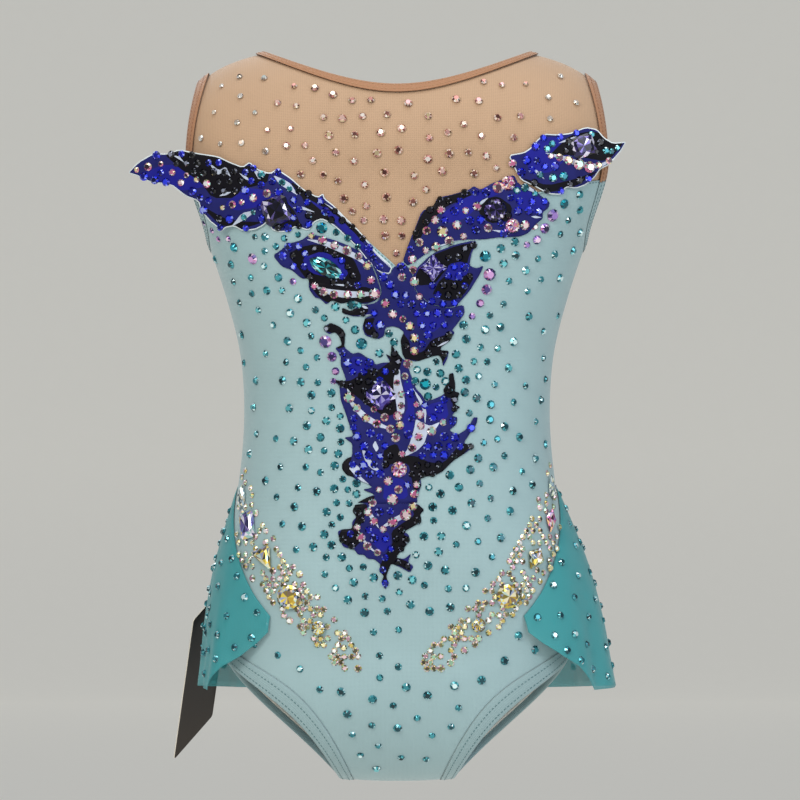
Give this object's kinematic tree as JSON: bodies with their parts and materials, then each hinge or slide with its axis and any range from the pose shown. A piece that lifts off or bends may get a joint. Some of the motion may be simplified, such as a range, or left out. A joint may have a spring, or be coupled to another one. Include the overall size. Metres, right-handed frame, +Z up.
{
  "type": "gymnastics leotard",
  "caption": "Sleeveless child's competition leotard: stretch body, sheer yoke, open-front mesh skirt, printed appliques, sewn-on crystals and a swinging hang tag.",
  "frame": {"origin": "centre of the waist section, midway between the sides, where the wearer's torso passes", "axes": "+Z up towards the neck, -Y the wearer's front, +X the viewer's right seen from the front"},
  "size_m": [0.347, 0.2359, 0.5105],
  "materials": {
    "aqua_jersey": "matte stretch jersey, pale grey aqua",
    "aqua_binding": "turned hem of the same jersey with two stitch lines",
    "nude_mesh": "sheer skin-tone stretch mesh",
    "nude_binding": "folded skin-tone jersey binding",
    "lining_jersey": "soft off-white lining",
    "elastic": "flat white elastic",
    "skirt_mesh": "translucent teal stretch mesh",
    "printed_applique": "printed satin in navy, royal blue and black",
    "cut_crystal": "faceted glass with a foil back and rainbow coating",
    "nylon": "moulded nylon, slightly clear",
    "tag_card": "dark coated card with a pale cut edge"
  },
  "bodies": {
    "leotard": {"front_body_panel": "aqua_jersey", "back_body_panel": "aqua_jersey", "front_yoke": "nude_mesh", "back_yoke": "nude_mesh", "neck_binding": "nude_binding", "crotch_lining": "lining_jersey", "skirt_left": "skirt_mesh", "skirt_right": "skirt_mesh", "left_armhole_binding_upper": "nude_binding", "left_armhole_binding_lower": "aqua_binding", "left_leg_binding": "aqua_binding", "left_leg_elastic": "elastic", "right_armhole_binding_upper": "nude_binding", "right_armhole_binding_lower": "aqua_binding", "right_leg_binding": "aqua_binding", "right_leg_elastic": "elastic", "applique_left_wing": "printed_applique", "applique_left_leaf": "printed_applique", "applique_right_wing": "printed_applique", "applique_right_feather": "printed_applique", "applique_right_leaf": "printed_applique", "applique_spine": "printed_applique", "applique_belly": "printed_applique", "applique_tail": "printed_applique", "crystal_left_hip_drop": "cut_crystal", "crystal_left_hip_square": "cut_crystal", "crystal_left_hip_trilliant": "cut_crystal", "crystal_left_hip_rivoli": "cut_crystal", "crystal_left_hip_small_rivoli": "cut_crystal", "crystal_right_hip_drop": "cut_crystal", "crystal_right_hip_kite": "cut_crystal", "crystal_right_hip_trilliant": "cut_crystal", "crystal_right_hip_rivoli": "cut_crystal", "crystal_right_hip_small_rivoli": "cut_crystal", "crystal_left_wing_square": "cut_crystal", "crystal_left_leaf_navette": "cut_crystal", "crystal_right_wing_rivoli": "cut_crystal", "crystal_right_wing_round": "cut_crystal", "crystal_right_wing_upper_round": "cut_crystal", "crystal_right_tip_stone": "cut_crystal", "crystal_right_leaf_star": "cut_crystal", "crystal_belly_square": "cut_crystal", "crystal_belly_round": "cut_crystal"},
    "fastener": {"tag_fastener": "nylon"},
    "tag": {"hang_tag": "tag_card"}
  },
  "joints": [
    {"name": "fastener_swing", "type": "hinge", "parent": "leotard", "child": "fastener", "pos_m": [-0.1138, 0.06213, -0.13266], "axis": [0.6263, 0.7796, 0], "range_deg": [0, 24]},
    {"name": "tag_swing", "type": "hinge", "parent": "fastener", "child": "tag", "pos_m": [-0.12125, 0.06621, -0.13525], "axis": [-0.8908, 0.2894, 0.3502], "range_deg": [-35, 20]}
  ]
}
